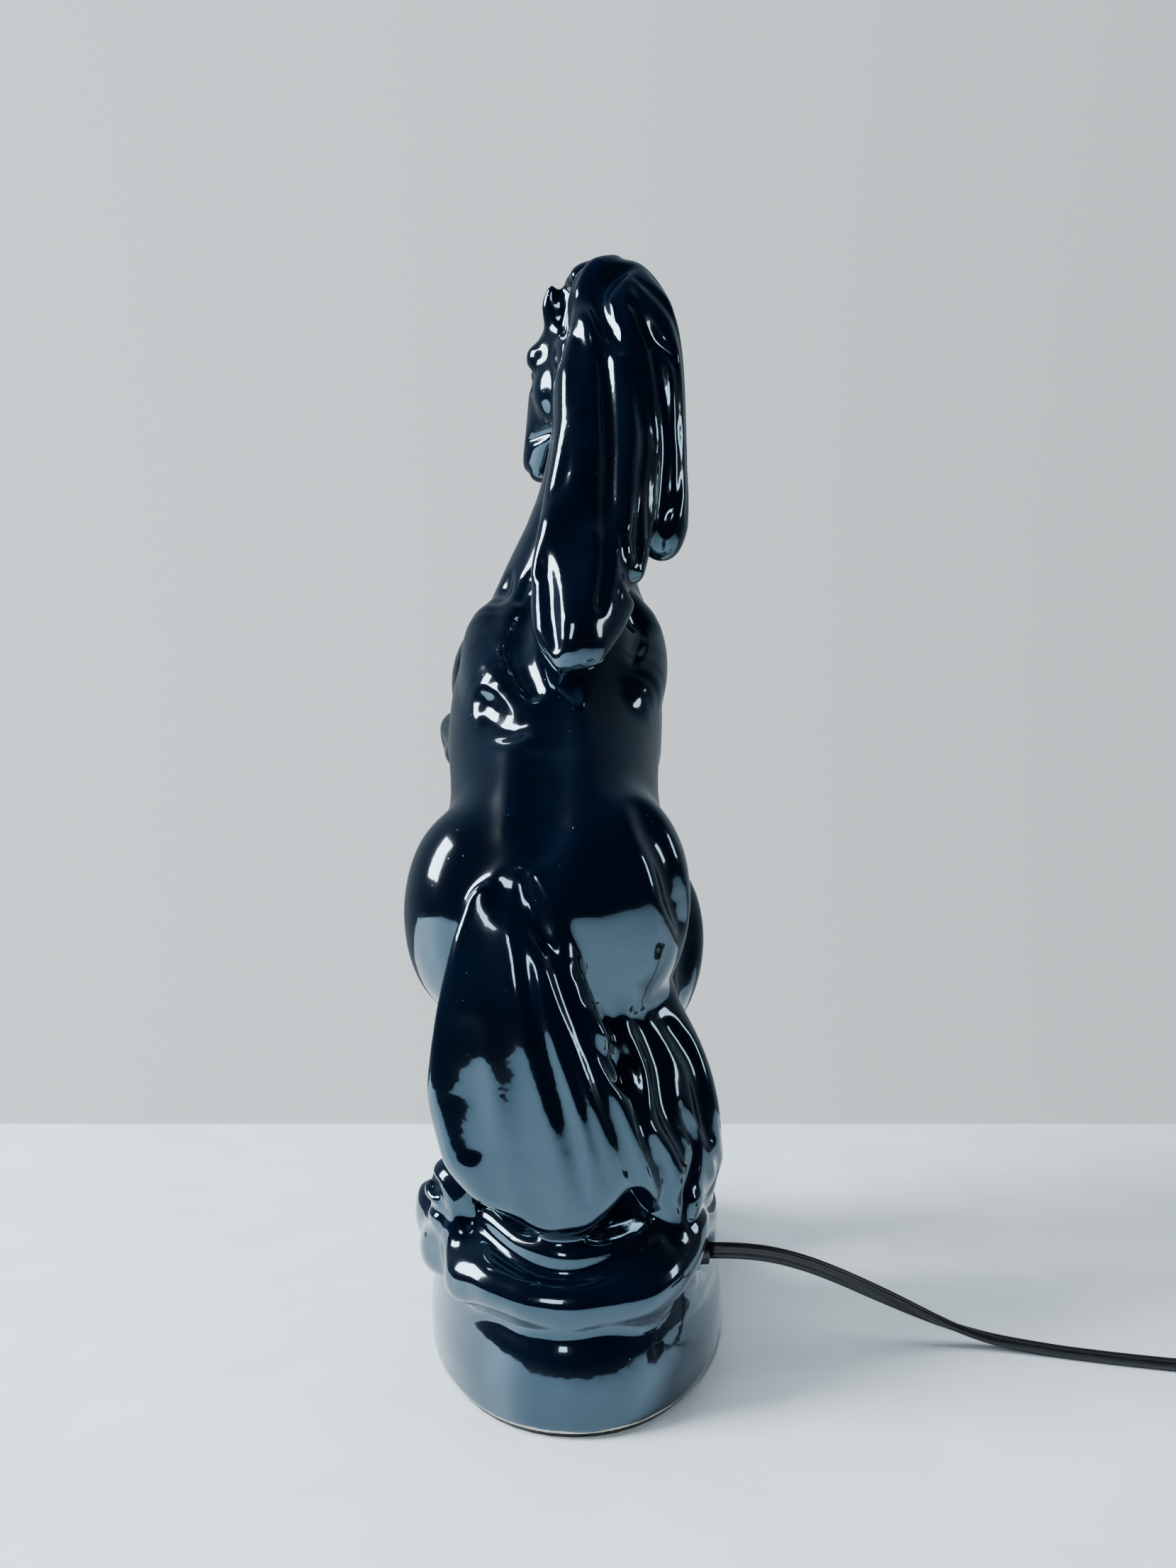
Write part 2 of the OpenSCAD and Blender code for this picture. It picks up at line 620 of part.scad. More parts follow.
// The cord inside the base, from the grommet down to the threaded tube and up it:
// [x, y, z, half width, half thickness]
inner_route = [
  [42.3, -50, 34.5, 2.6, 1.35], [35.4, -50.5, 34.4, 2.6, 1.35], [30, -50.8, 33, 2.2, 1.5],
  [25, -50.6, 28, 1.8, 1.6],
  [22.5, -49, 21, 1.7, 1.6], [22, -44, 14, 1.7, 1.7], [20, -32, 9, 1.7, 1.7], [16, -14, 8, 1.7, 1.7],
  [13, 6, 8, 1.7, 1.7], [10.5, 22, 8, 1.7, 1.7], [8.8, 33, 8.4, 1.7, 1.7], [8.1, 38.6, 10.5, 1.7, 1.7],
  [8, 40, 15, 1.7, 1.7], [8, 40, 44, 1.7, 1.7]
];

module inner_lead() {
  last = len(inner_route) - 1;
  color(cord_black) skin([for (i = [0 : last])
    let (s = inner_route[i])
    ring(place(s), heading(inner_route, i), i < 5 ? [0, 0.2, 1] : [1, 0, 0], s[3], s[4], 8)]);
}

module cord_run() {
  color(cord_black) flat_cord(cord_route);
}

module cord_coil() {
  color(cord_black) translate([coil_at[0], coil_at[1], 0.1]) rotate_extrude($fn = 96)
    translate([coil_mid_r - coil_band, 0]) square([2 * coil_band, coil_h]);
}

module coil_tie() {
  color("#0c0c0c") translate([coil_at[0] + coil_mid_r, coil_at[1], 0.1]) difference() {
    translate([-coil_band - 1.2, -2.5, 0]) cube([2 * coil_band + 2.1, 5, coil_h + 0.9]);
    translate([-coil_band - 0.3, -4, -1]) cube([2 * coil_band + 0.3, 8, coil_h + 1]);
  }
}

module plug_body() {
  color(bakelite) translate(plug_at) hull() {
    for (y = [-8, 8]) translate([-12, y * 0.55, 6]) sphere(r = 4.5, $fn = 24);
    for (y = [-8, 8]) translate([12, y, 6]) rotate([0, 90, 0]) cylinder(r = 6, h = 3, $fn = 32);
  }
}

module plug_blades() {
  color(brass) translate([plug_at[0], plug_at[1], plug_at[2] + 6])
    for (y = [-6.35, 6.35]) translate([15, y - 0.75, -3.2]) difference() {
      cube([16, 1.5, 6.4]);
      translate([12.5, -1, 3.2]) rotate([-90, 0, 0]) cylinder(r = 1.6, h = 4, $fn = 24);
    }
}

base_shell();
rock_mound();
front_rocks();
torso();
left_hind_leg();
right_hind_leg();
left_foreleg();
right_foreleg();
neck_and_head();
mane();
tail();
felt_pad();
threaded_tube();
clamp_washer();
clamp_nut();
deck_washer();
lock_nut();
socket_cap();
cap_screw();
socket_shell();
socket_liner();
socket_core();
screw_shell();
centre_contact();
terminal_screws();
switch_shaft();
switch_key();
bulb_tip();
bulb_base();
bulb_glass();
bulb_stem();
bulb_filament();
cord_grommet();
inner_lead();
cord_run();
cord_coil();
coil_tie();
plug_body();
plug_blades();
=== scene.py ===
"""TV lamp: looks of the black-glazed rearing horse, its lamp holder, bulb and flat cord.

The ceramic is sculpted as one distance field on a voxel grid, in millimetres, from the CAD
castings. Each casting then gets its own closed, glazed piece of that one surface.
"""

import math

import bpy
import numpy as np
import openvdb as vdb
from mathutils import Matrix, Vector


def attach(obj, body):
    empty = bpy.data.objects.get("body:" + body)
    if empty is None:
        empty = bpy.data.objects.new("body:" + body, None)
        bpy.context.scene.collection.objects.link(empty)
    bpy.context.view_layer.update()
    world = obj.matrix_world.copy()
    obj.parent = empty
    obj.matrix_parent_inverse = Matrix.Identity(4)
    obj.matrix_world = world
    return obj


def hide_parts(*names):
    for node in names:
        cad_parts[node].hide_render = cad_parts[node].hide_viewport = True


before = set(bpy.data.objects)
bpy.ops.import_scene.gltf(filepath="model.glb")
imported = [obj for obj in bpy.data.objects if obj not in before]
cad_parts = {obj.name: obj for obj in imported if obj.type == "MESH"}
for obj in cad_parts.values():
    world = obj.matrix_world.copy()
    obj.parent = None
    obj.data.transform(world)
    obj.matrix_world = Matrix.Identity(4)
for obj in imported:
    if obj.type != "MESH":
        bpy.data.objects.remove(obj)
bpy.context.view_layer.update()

MM = 0.001
CASTINGS = (
    "base_shell", "rock_mound", "front_rocks", "torso", "left_hind_leg", "right_hind_leg",
    "left_foreleg", "right_foreleg", "neck_and_head", "mane", "tail",
)

# ---------- camera ----------

camera = bpy.data.objects.new("camera", bpy.data.cameras.new("camera"))
bpy.context.scene.collection.objects.link(camera)
camera.data.lens = 27.03
camera.data.sensor_width = 36
camera.location = (0.004, -0.430, 0.185)
camera.rotation_euler = (math.radians(90), 0, 0)
camera.data.clip_start = 0.01
bpy.context.scene.camera = camera


# ---------- meshes ----------


def add_mesh(name, points, faces, smooth=True):
    """A mesh object from points in metres and faces that all have the same number of corners."""
    mesh = bpy.data.meshes.new(name)
    points = np.asarray(points, np.float32)
    faces = np.asarray(faces, np.int32)
    count, corners = faces.shape
    mesh.vertices.add(len(points))
    mesh.vertices.foreach_set("co", points.ravel())
    mesh.loops.add(count * corners)
    mesh.loops.foreach_set("vertex_index", faces.ravel())
    mesh.polygons.add(count)
    mesh.polygons.foreach_set("loop_start", np.arange(0, count * corners, corners, dtype=np.int32))
    mesh.polygons.foreach_set("use_smooth", np.full(count, smooth))
    mesh.update(calc_edges=True)
    mesh.validate()
    piece = bpy.data.objects.new(name, mesh)
    bpy.context.scene.collection.objects.link(piece)
    return piece


def add_joined(name, parts, smooth=True):
    """One mesh object from several (points, faces) parts, whose faces may have any number of corners."""
    points = []
    faces = []
    for part_points, part_faces in parts:
        start = len(points)
        points.extend(map(tuple, part_points))
        faces.extend([[start + i for i in face] for face in part_faces])
    mesh = bpy.data.meshes.new(name)
    mesh.from_pydata(points, [], faces)
    mesh.polygons.foreach_set("use_smooth", np.full(len(mesh.polygons), smooth))
    mesh.update()
    piece = bpy.data.objects.new(name, mesh)
    bpy.context.scene.collection.objects.link(piece)
    return piece


def smooth_route(points, step):
    """Points about step apart on the Catmull-Rom curve through points, ends included."""
    points = np.asarray(points, float)
    padded = np.vstack([2 * points[0] - points[1], points, 2 * points[-1] - points[-2]])
    route = []
    for a, b, c, d in zip(padded, padded[1:], padded[2:], padded[3:]):
        count = max(1, int(round(np.linalg.norm(c - b) / step)))
        for t in np.arange(count) / count:
            route.append(
                0.5 * (2 * b + (c - a) * t + (2 * a - 5 * b + 4 * c - d) * t**2
                       + (3 * b - a - 3 * c + d) * t**3)
            )
    route.append(points[-1])
    return np.array(route)


def ease(x):
    """0 up to x = 0, 1 from x = 1, and smooth between."""
    x = np.clip(x, 0, 1)
    return x * x * (3 - 2 * x)


# ---------- materials ----------


def new_material(name):
    """A node material that holds only its output: (material, its tree, its Principled shader)."""
    material = bpy.data.materials.new(name)
    material.use_nodes = True
    tree = material.node_tree
    tree.nodes.clear()
    output = tree.nodes.new("ShaderNodeOutputMaterial")
    shader = tree.nodes.new("ShaderNodeBsdfPrincipled")
    tree.links.new(shader.outputs["BSDF"], output.inputs["Surface"])
    return material, tree, shader


def node(tree, kind, **settings):
    """A shader node. Settings whose names are its properties are set, the rest are input values."""
    made = tree.nodes.new(kind)
    for key, value in settings.items():
        if hasattr(made, key):
            setattr(made, key, value)
        else:
            made.inputs[key.replace("_", " ")].default_value = value
    return made


def object_noise(tree, scale, detail=4.0, stretch=(1, 1, 1)):
    """A noise texture in object coordinates, scale in cells a metre."""
    place = tree.nodes.new("ShaderNodeTexCoord")
    mapping = tree.nodes.new("ShaderNodeMapping")
    mapping.inputs["Scale"].default_value = stretch
    noise = tree.nodes.new("ShaderNodeTexNoise")
    noise.inputs["Scale"].default_value = scale
    noise.inputs["Detail"].default_value = detail
    tree.links.new(place.outputs["Object"], mapping.inputs["Vector"])
    tree.links.new(mapping.outputs["Vector"], noise.inputs["Vector"])
    return noise


def ramp(tree, source, stops):
    """A colour ramp over source; stops are (position, colour)."""
    made = tree.nodes.new("ShaderNodeValToRGB")
    elements = made.color_ramp.elements
    while len(elements) < len(stops):
        elements.new(0.5)
    for element, (position, colour) in zip(elements, stops):
        element.position = position
        element.color = (*colour, 1)
    tree.links.new(source, made.inputs["Fac"])
    return made


def grey(value):
    return (value, value, value)


def bump(tree, shader, height, strength, distance):
    """A bump from height, joined to the shader's normal."""
    made = node(tree, "ShaderNodeBump", Strength=strength, Distance=distance)
    tree.links.new(height, made.inputs["Height"])
    tree.links.new(made.outputs["Normal"], shader.inputs["Normal"])


def simple(name, dark, light, rough=(0.3, 0.5), metal=0.0, scale=400.0, depth=0.0001,
           stretch=(1, 1, 1), **sockets):
    """A material whose colour and roughness vary with one noise, and whose bump follows it."""
    material, tree, shader = new_material(name)
    noise = object_noise(tree, scale, stretch=stretch)
    colour = ramp(tree, noise.outputs["Fac"], [(0.35, dark), (0.65, light)])
    gloss = ramp(tree, noise.outputs["Fac"], [(0.3, grey(rough[0])), (0.7, grey(rough[1]))])
    tree.links.new(colour.outputs["Color"], shader.inputs["Base Color"])
    tree.links.new(gloss.outputs["Color"], shader.inputs["Roughness"])
    shader.inputs["Metallic"].default_value = metal
    for key, value in sockets.items():
        shader.inputs[key.replace("_", " ")].default_value = value
    bump(tree, shader, noise.outputs["Fac"], 0.3, depth)
    return material


def glaze():
    """Blue-black gloss glaze: pooled and thin patches, a slow waviness, pinholes and a bare foot."""
    material, tree, shader = new_material("black_glaze")
    link = tree.links.new
    patches = object_noise(tree, 28, 5)
    colour = ramp(tree, patches.outputs["Fac"],
                  [(0.3, (0.0003, 0.0012, 0.004)), (0.7, (0.0006, 0.003, 0.010))])
    # bare, cream foot ring with an uneven edge, just above the felt
    place = tree.nodes.new("ShaderNodeTexCoord")
    split = tree.nodes.new("ShaderNodeSeparateXYZ")
    link(place.outputs["Object"], split.inputs["Vector"])
    edge = object_noise(tree, 60, 6)
    wander = node(tree, "ShaderNodeMath", operation="MULTIPLY_ADD")
    wander.inputs[1].default_value = 0.0024
    wander.inputs[2].default_value = 0.0013
    link(edge.outputs["Fac"], wander.inputs[0])
    low = node(tree, "ShaderNodeMath", operation="LESS_THAN")
    link(split.outputs["Z"], low.inputs[0])
    link(wander.outputs["Value"], low.inputs[1])
    bisque = object_noise(tree, 500, 3)
    clay = ramp(tree, bisque.outputs["Fac"], [(0.3, (0.42, 0.36, 0.27)), (0.7, (0.6, 0.54, 0.43))])
    mix = node(tree, "ShaderNodeMix", data_type="RGBA")
    link(low.outputs["Value"], mix.inputs["Factor"])
    link(colour.outputs["Color"], mix.inputs["A"])
    link(clay.outputs["Color"], mix.inputs["B"])
    link(mix.outputs["Result"], shader.inputs["Base Color"])
    # gloss, broken by faint dust and fingerprints
    dust = object_noise(tree, 90, 8)
    gloss = ramp(tree, dust.outputs["Fac"], [(0.35, grey(0.035)), (0.75, grey(0.085))])
    rough = node(tree, "ShaderNodeMix", data_type="FLOAT")
    link(low.outputs["Value"], rough.inputs["Factor"])
    link(gloss.outputs["Color"], rough.inputs["A"])
    rough.inputs["B"].default_value = 0.85
    link(rough.outputs["Result"], shader.inputs["Roughness"])
    shader.inputs["IOR"].default_value = 1.85
    shader.inputs["Specular Tint"].default_value = (0.50, 0.80, 1.0, 1)
    # a thin haze of handling over the gloss
    shader.inputs["Coat Weight"].default_value = 0.35
    shader.inputs["Coat IOR"].default_value = 1.45
    shader.inputs["Coat Roughness"].default_value = 0.17
    # slow waviness of the fired surface, and sparse pinholes
    wave = object_noise(tree, 130, 2)
    pits = node(tree, "ShaderNodeTexVoronoi", feature="F1", Scale=260.0)
    link(place.outputs["Object"], pits.inputs["Vector"])
    hole = node(tree, "ShaderNodeMapRange")
    hole.inputs["From Min"].default_value = 0.0
    hole.inputs["From Max"].default_value = 0.06
    hole.inputs["To Min"].default_value = -0.6
    hole.inputs["To Max"].default_value = 0.0
    link(pits.outputs["Distance"], hole.inputs["Value"])
    height = node(tree, "ShaderNodeMath", operation="ADD")
    link(wave.outputs["Fac"], height.inputs[0])
    link(hole.outputs["Result"], height.inputs[1])
    bump(tree, shader, height.outputs["Value"], 0.35, 0.00035)
    return material


def glass(name, colour, rough, ior=1.5):
    """A clear or frosted glass, faintly uneven in its gloss."""
    material, tree, shader = new_material(name)
    noise = object_noise(tree, 120, 3)
    gloss = ramp(tree, noise.outputs["Fac"],
                 [(0.3, grey(rough * 0.8)), (0.7, grey(min(1, rough * 1.2)))])
    tree.links.new(gloss.outputs["Color"], shader.inputs["Roughness"])
    shader.inputs["Base Color"].default_value = (*colour, 1)
    shader.inputs["Transmission Weight"].default_value = 1
    shader.inputs["IOR"].default_value = ior
    return material


GLAZE = glaze()
BRASS = simple("socket_brass", (0.50, 0.33, 0.12), (0.72, 0.50, 0.20), (0.16, 0.34), 1.0, 300)
STEEL = simple("zinc_steel", (0.42, 0.43, 0.43), (0.62, 0.62, 0.60), (0.25, 0.45), 1.0, 500)
FELT = simple("felt", (0.010, 0.012, 0.012), (0.03, 0.035, 0.034), (0.9, 1.0), 0.0, 1800, 0.0006,
              Sheen_Weight=0.5)
FIBRE = simple("fibre_washer", (0.012, 0.012, 0.012), (0.04, 0.036, 0.03), (0.6, 0.8), 0.0, 900)
LINER = simple("liner_card", (0.16, 0.10, 0.05), (0.28, 0.19, 0.10), (0.7, 0.9), 0.0, 700)
BAKELITE = simple("black_bakelite", (0.010, 0.007, 0.006), (0.03, 0.018, 0.012), (0.12, 0.3), 0.0, 160)
INSULATOR = simple("bulb_insulator", (0.006, 0.006, 0.007), (0.02, 0.018, 0.018), (0.1, 0.25), 0.0, 500)
CAP = simple("bulb_cap", (0.55, 0.50, 0.40), (0.78, 0.72, 0.58), (0.2, 0.36), 1.0, 420)
TUNGSTEN = simple("tungsten", (0.16, 0.16, 0.17), (0.34, 0.34, 0.35), (0.3, 0.5), 1.0, 2500)
CORD = simple("cord_black", (0.0025, 0.003, 0.0035), (0.006, 0.007, 0.009), (0.30, 0.44), 0.0, 900,
              0.00008, stretch=(0.12, 1, 1))
FROSTED = glass("bulb_glass", (0.93, 0.93, 0.9), 0.45)
CLEAR = glass("stem_glass", (0.9, 0.94, 0.93), 0.04)


def dress(name, material):
    """Gives a CAD node that stays visible its material."""
    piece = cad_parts[name]
    piece.data.materials.clear()
    piece.data.materials.append(material)


def finish_piece(piece, material, slot, *nodes):
    """Material of a new piece, which rides on the lamp and stands for CAD nodes. The slot argument is not
    used.
    """
    piece.data.materials.append(material)
    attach(piece, "lamp")
    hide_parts(*nodes)


# ---------- flat cord ----------

CORD_W = 5.2
CORD_T = 2.7
CORD_CLEAR = 0.15
CORD_EXIT = (42.6, -50.0, 34.5)
CORD_ROUTE = [
    CORD_EXIT, (47, -49.7, 34.4), (53, -49.2, 34), (60, -48.3, 33), (68, -47, 31),
    (77, -45.5, 27.8), (87, -44, 23.4), (97, -42.8, 18.6), (107, -42, 13.8),
    (117, -41.8, 9.2), (127, -42.4, 5.4), (137, -44, 3), (148, -46.8, 2), (160, -50.2, 1.5),
    (172, -53.6, 1.5), (184, -56.6, 1.5), (195, -59, 1.6), (208, -60.2, 2),
]
# where along X the cord turns flat, and where it turns on edge again for the coil: start and span
FLAT_FROM, FLAT_OVER = 87, 55
EDGE_FROM, EDGE_OVER = 188, 18
COIL_AT = (230.0, -97.0)
COIL_PITCH = 5.4
COIL_MID_R = 31.0
COIL_LAYERS = (2.8, 8.1, 13.4)
COIL_TURNS = 7.93
# height of the cord where it enters the plug, and how far out of the coil's turns it is there
PLUG_Z = 22.6
PLUG_OUT = 2.7


def coil_route():
    """The wound part: three layers, each turn a diameter from the next.

    Each shift starts before the turn that it would otherwise lie on.
    """
    inward = [(0.75, -1), (1.75, -1), (3.25, 1), (4.25, 1), (5.75, -1), (6.75, -1)]
    upward = [(2.5, COIL_LAYERS[1] - COIL_LAYERS[0]), (5.0, COIL_LAYERS[2] - COIL_LAYERS[1])]
    turns = np.arange(0, COIL_TURNS, 1 / 40)
    radius = COIL_MID_R + COIL_PITCH + sum(
        COIL_PITCH * way * ease((turns - at) * 4) for at, way in inward)
    radius = radius + PLUG_OUT * ease((turns - 7.5) / 0.43)
    height = COIL_LAYERS[0] + sum(rise * ease((turns - at) * 4) for at, rise in upward)
    height = height + (PLUG_Z - COIL_LAYERS[2]) * ease((turns - 7.3) / 0.6)
    angle = math.pi / 2 - 2 * math.pi * turns
    across = COIL_AT[0] + radius * np.cos(angle)
    along = COIL_AT[1] + radius * np.sin(angle)
    return np.stack([across, along, height], 1)


def cord_section():
    """Outline of the twin cord: two round lobes and the valley between them, as (across, thick)."""
    lobe = CORD_T / 2
    centre = CORD_W / 2 - lobe
    arc = np.radians(np.linspace(-128, 128, 11))
    right = [(centre + lobe * math.cos(a), lobe * math.sin(a)) for a in arc]
    left = [(-x, -y) for x, y in right]
    return np.array(right + left)


def make_cord():
    """The twin cord's piece, and the points that it follows in metres."""
    run = smooth_route(CORD_ROUTE, 3)
    coil = coil_route()
    path = np.vstack([run, coil[1:]])
    tangent = np.gradient(path, axis=0)
    tangent /= np.linalg.norm(tangent, axis=1)[:, None]
    up = np.array([0, 0, 1.0]) - tangent * tangent[:, 2:3]
    up /= np.linalg.norm(up, axis=1)[:, None]
    out = np.cross(tangent, up)
    # on edge where it leaves the rocks and in the coil, flat on the table between
    flat = ease((path[:, 0] - FLAT_FROM) / FLAT_OVER)
    flat[len(run):] = 0
    flat[:len(run)] *= 1 - ease((path[:len(run), 0] - EDGE_FROM) / EDGE_OVER)
    turn = flat * math.pi / 2
    reach = CORD_W / 2 * np.cos(turn) + CORD_T / 2 * np.sin(turn) + CORD_CLEAR
    path[:, 2] = np.maximum(path[:, 2], reach)
    across = up * np.cos(turn)[:, None] + out * np.sin(turn)[:, None]
    thick = np.cross(tangent, across)
    outline = cord_section()
    rings = (path[:, None, :] + across[:, None, :] * outline[None, :, :1]
             + thick[:, None, :] * outline[None, :, 1:])
    sides = len(outline)
    i, k = np.meshgrid(np.arange(len(path) - 1), np.arange(sides), indexing="ij")
    after = (k + 1) % sides
    below, above = i * sides, (i + 1) * sides
    walls = np.stack([below + k, below + after, above + after, above + k], -1)
    first = [list(range(sides))[::-1]]
    last = [[(len(path) - 1) * sides + q for q in range(sides)]]
    faces = [list(f) for f in walls.reshape(-1, 4)] + first + last
    return add_joined("twin_cord", [(rings.reshape(-1, 3) * MM, faces)]), path * MM


cord, cord_path = make_cord()
finish_piece(cord, CORD, "cord_black", "cord_run", "cord_coil")

# ---------- the ceramic's distance field ----------

VOXEL = 0.9
# how far from a surface its distance is kept, and the room around a casting
BAND = 10.0
MARGIN = 13.0
# how fast a casting's piece sinks under its neighbour past the seam between them, a millimetre
SINK = 0.05
# the last softening, by the glaze
GLAZE_ROUND = 0.9


def cad_surface(name):
    """A CAD node's points in millimetres and its triangles."""
    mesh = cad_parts[name].data
    mesh.calc_loop_triangles()
    points = np.zeros(len(mesh.vertices) * 3, np.float32)
    mesh.vertices.foreach_get("co", points)
    corners = np.zeros(len(mesh.loop_triangles) * 3, np.int32)
    mesh.loop_triangles.foreach_get("vertices", corners)
    return points.reshape(-1, 3) / MM, corners.reshape(-1, 3).astype(np.uint32)


surfaces = {name: cad_surface(name) for name in CASTINGS}
lowest = np.min([points.min(0) for points, _ in surfaces.values()], axis=0) - MARGIN - 2
highest = np.max([points.max(0) for points, _ in surfaces.values()], axis=0) + MARGIN + 2
ORIGIN = np.floor(lowest / VOXEL).astype(int)
SHAPE = np.ceil(highest / VOXEL).astype(int) - ORIGIN + 1


class Window:
    """A box of the grid, given by its corners in millimetres."""

    def __init__(self, low, high):
        self.start = np.clip(np.floor(np.asarray(low) / VOXEL).astype(int) - ORIGIN, 0, SHAPE - 1)
        stop = np.clip(np.ceil(np.asarray(high) / VOXEL).astype(int) - ORIGIN + 1, 1, SHAPE)
        self.at = tuple(slice(a, b) for a, b in zip(self.start, stop))
        self.shape = tuple(stop - self.start)

    def axes(self):
        return [((ORIGIN[i] + self.start[i] + np.arange(self.shape[i])) * VOXEL).astype(np.float32)
                for i in range(3)]


def level_field(name, window):
    """Signed distance in millimetres to a casting, negative inside, over a window."""
    points, corners = surfaces[name]
    grid = vdb.FloatGrid.createLevelSetFromPolygons(
        points.astype(np.float32), triangles=corners,
        transform=vdb.createLinearTransform(voxelSize=VOXEL), halfWidth=BAND / VOXEL)
    field = np.zeros(window.shape, np.float32)
    grid.copyToArray(field, ijk=tuple(int(v) for v in ORIGIN + window.start))
    return field


def blurred(field, sigma):
    """Gaussian blur, sigma in millimetres."""
    reach = max(1, int(math.ceil(2.5 * sigma / VOXEL)))
    weights = np.exp(-0.5 * (np.arange(-reach, reach + 1) * VOXEL / sigma) ** 2)
    weights /= weights.sum()
    for axis in range(3):
        size = field.shape[axis]
        padded = np.pad(field, [(reach, reach) if i == axis else (0, 0) for i in range(3)], mode="edge")
        total = np.zeros_like(field)
        for k, weight in enumerate(weights):
            cut = [slice(None)] * 3
            cut[axis] = slice(k, k + size)
            total += np.float32(weight) * padded[tuple(cut)]
        field = total
    return field


def join(a, b, blend):
    """Union of two fields with a fillet about blend wide."""
    h = np.clip(blend - np.abs(a - b), 0, None) / blend
    return np.minimum(a, b) - h * h * blend / 4


def chain_field(window, stations, side=(1, 0, 0)):
    """Distance to a limb through stations [x, y, z, half width along side, half width across it]."""
    x, y, z = np.meshgrid(*window.axes(), indexing="ij", sparse=True)
    field = np.full(window.shape, BAND, np.float32)
    stations = np.asarray(stations, float)
    if stations.shape[1] == 4:
        stations = np.hstack([stations, stations[:, 3:4]])
    for a, b in zip(stations, stations[1:]):
        along = b[:3] - a[:3]
        long = max(np.linalg.norm(along), 1e-6)
        along = along / long
        across = np.asarray(side, float) - along * np.dot(side, along)
        if np.linalg.norm(across) < 1e-3:
            across = np.array([0, 1.0, 0]) - along * along[1]
        across /= np.linalg.norm(across)
        third = np.cross(along, across)
        dx, dy, dz = x - a[0], y - a[1], z - a[2]
        t = np.clip((dx * along[0] + dy * along[1] + dz * along[2]) / long, 0, 1)
        beyond = dx * along[0] + dy * along[1] + dz * along[2] - t * long
        wide = a[3] + (b[3] - a[3]) * t
        deep = a[4] + (b[4] - a[4]) * t
        least = np.minimum(wide, deep)
        u = dx * across[0] + dy * across[1] + dz * across[2]
        v = dx * third[0] + dy * third[1] + dz * third[2]
        reach = np.sqrt((u / wide) ** 2 + (v / deep) ** 2 + (beyond / least) ** 2)
        field = np.minimum(field, (reach - 1) * least)
    return field


def box_of(points, room):
    points = np.asarray(points, float)[:, :3]
    return Window(points.min(0) - room, points.max(0) + room)


# how far each casting is softened, in millimetres
SOFTEN = {
    "base_shell": 3.6, "rock_mound": 2.6, "front_rocks": 2.6, "torso": 4.5,
    "left_hind_leg": 1.6, "right_hind_leg": 1.6, "left_foreleg": 1.5, "right_foreleg": 1.5,
    "neck_and_head": 2.2, "mane": 2.4, "tail": 3.4,
}
# an oval core that closes the hollow plinth: centre, half width, half length, bottom, top
BASE_CORE = ((0.0, 0.0), 48.0, 96.0, 3.5, 24.0)
# the foot's underside, and the height that its wall is straight below
FOOT_Z = 1.3
FOOT_STRAIGHT = 7.0
# solid cores that close the castings' inner hollows, which nothing shows
CORES = {
    "torso": [[-7, -44, 136, 34, 27], [-7, -36, 152, 40, 34], [-8, -23, 172, 36, 33],
              [-8, -7, 193, 37, 33], [-7.5, 8, 213, 37, 33], [-6, 21, 232, 33, 32], [-4, 28, 246, 24, 24]],
    "rock_mound": [[-7, -42, 28, 22, 28], [-7, -42, 34, 20, 24]],
}
# cores of the left and right thighs and knees, where the legs grow out of the trunk
THIGHS = [
    [[-31, -47, 130, 19, 21], [-31, -46, 158, 19, 21]],
    [[13, -47, 130, 19, 21], [13, -46, 158, 19, 21]],
]
KNEES = [
    [[-31, -19, 116, 17, 20], [-31, -19, 150, 18, 21]],
    [[18, -19, 116, 17, 20], [18, -19, 150, 18, 21]],
]


def oval_core(window, centre, half_width, half_length, bottom, top):
    """Distance to an upright oval block."""
    x, y, z = np.meshgrid(*window.axes(), indexing="ij", sparse=True)
    reach = np.sqrt(((x - centre[0]) / half_width) ** 2 + ((y - centre[1]) / half_length) ** 2)
    return np.maximum((reach - 1) * half_width, np.maximum(bottom - z, z - top)).astype(np.float32)


def rock_relief(window):
    """Rolled, uneven swellings of the rocks, in millimetres."""
    x, y, z = np.meshgrid(*window.axes(), indexing="ij", sparse=True)
    swell = np.sin(x / 5.1 + 1.3 * np.sin(z / 9.0)) * np.sin(y / 6.3 + 0.8 * np.sin(x / 8.0))
    beds = np.sin(z / 3.4 + 1.4 * np.sin(x / 12.0) + 1.1 * np.sin(y / 10.0 + 1.0))
    return (0.5 * swell + 0.22 * beds).astype(np.float32)


windows = {}
fields = {}
for name in CASTINGS:
    points, _ = surfaces[name]
    window = Window(points.min(0) - MARGIN, points.max(0) + MARGIN)
    field = level_field(name, window)
    if name in CORES:
        field = np.minimum(field, chain_field(window, CORES[name]))
    if name == "torso":
        for core in THIGHS + KNEES:
            field = np.minimum(field, chain_field(window, core))
    if name == "base_shell":
        # the wall runs straight down while it is softened, and the foot is cut flat afterwards
        height = window.axes()[2]
        straight = int(np.searchsorted(height, FOOT_STRAIGHT))
        field = np.minimum(field, oval_core(window, *BASE_CORE))
        field[:, :, :straight] = field[:, :, straight:straight + 1]
        field = np.maximum(blurred(field, SOFTEN[name]), FOOT_Z - height)
    else:
        field = blurred(field, SOFTEN[name])
    if name in ("rock_mound", "front_rocks"):
        field = field - rock_relief(window)
    windows[name] = window
    fields[name] = field

